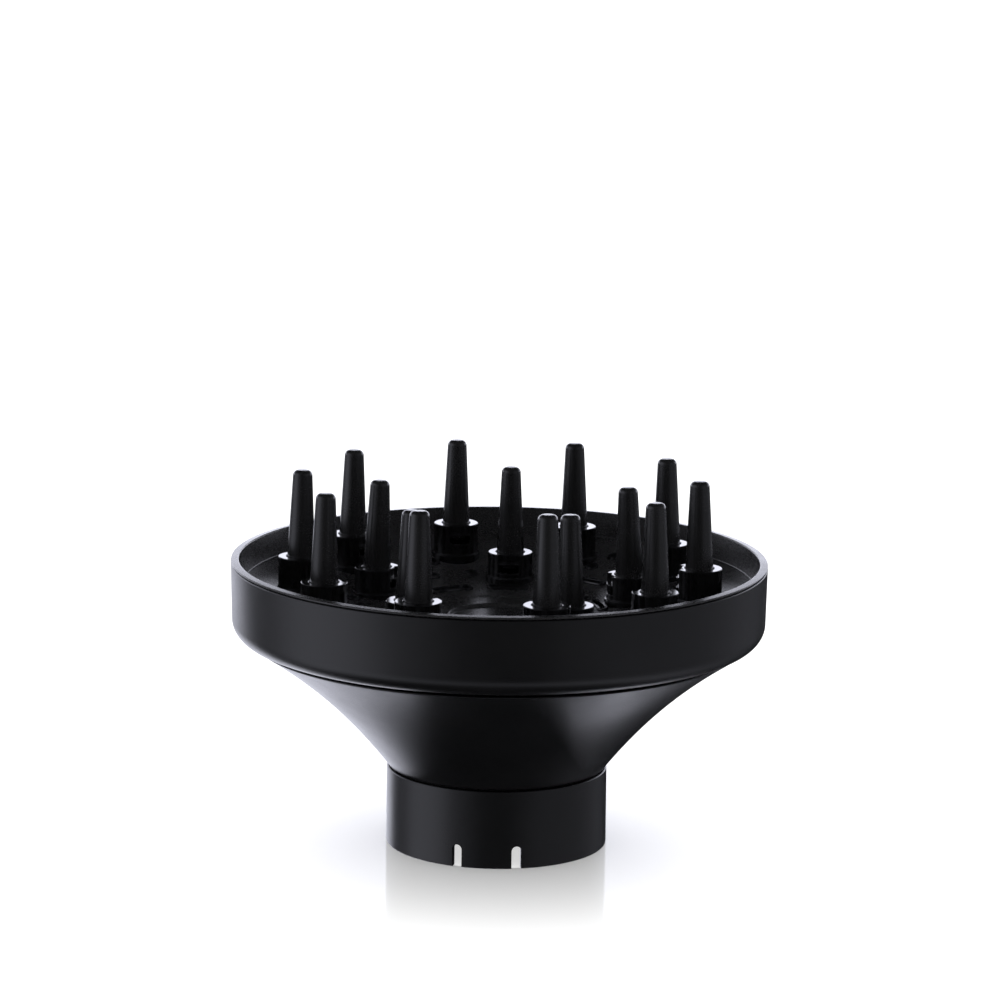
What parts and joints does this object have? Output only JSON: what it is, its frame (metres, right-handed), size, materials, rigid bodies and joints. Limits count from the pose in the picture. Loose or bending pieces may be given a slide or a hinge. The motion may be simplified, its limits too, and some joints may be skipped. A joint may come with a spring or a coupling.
{
  "type": "hair dryer diffuser",
  "caption": "Bowl-shaped hair dryer diffuser: slit push-on collar, flared air cone, deep rim and a dished, vented plate with tapered fingers.",
  "frame": {"origin": "centre of the collar's open end, which the part stands on", "axes": "+Z from the collar up through the bowl; the front grip tab faces -Y, and one inner finger is towards +Y"},
  "size_m": [0.15, 0.15, 0.1048],
  "materials": {
    "shell": "satin black",
    "cone": "fine spark-eroded grain",
    "collar": "satin black",
    "plate": "satin floor with glossy bosses",
    "finger": "smooth satin"
  },
  "bodies": {
    "root": {"collar": "collar", "air_cone": "cone", "rim_band": "shell", "diffuser_plate": "plate", "finger_inner_1": "finger", "finger_inner_2": "finger", "finger_inner_3": "finger", "finger_inner_4": "finger", "finger_inner_5": "finger", "finger_outer_1": "finger", "finger_outer_2": "finger", "finger_outer_3": "finger", "finger_outer_4": "finger", "finger_outer_5": "finger", "finger_outer_6": "finger", "finger_outer_7": "finger", "finger_outer_8": "finger", "finger_outer_9": "finger", "finger_outer_10": "finger"},
    "grip_front": {"grip_tab_front": "collar"},
    "grip_right": {"grip_tab_right": "collar"},
    "grip_left": {"grip_tab_left": "collar"}
  },
  "joints": [
    {"name": "grip_front_flex", "type": "hinge", "parent": "root", "child": "grip_front", "pos_m": [0, -0.0301, 0.005], "axis": [-1, 0, 0], "range_deg": [0, 8], "stiffness_Nm_per_rad": 1.5},
    {"name": "grip_right_flex", "type": "hinge", "parent": "root", "child": "grip_right", "pos_m": [0.02607, 0.01505, 0.005], "axis": [0.5, -0.866, 0], "range_deg": [0, 8], "stiffness_Nm_per_rad": 1.5},
    {"name": "grip_left_flex", "type": "hinge", "parent": "root", "child": "grip_left", "pos_m": [-0.02607, 0.01505, 0.005], "axis": [0.5, 0.866, 0], "range_deg": [0, 8], "stiffness_Nm_per_rad": 1.5}
  ]
}
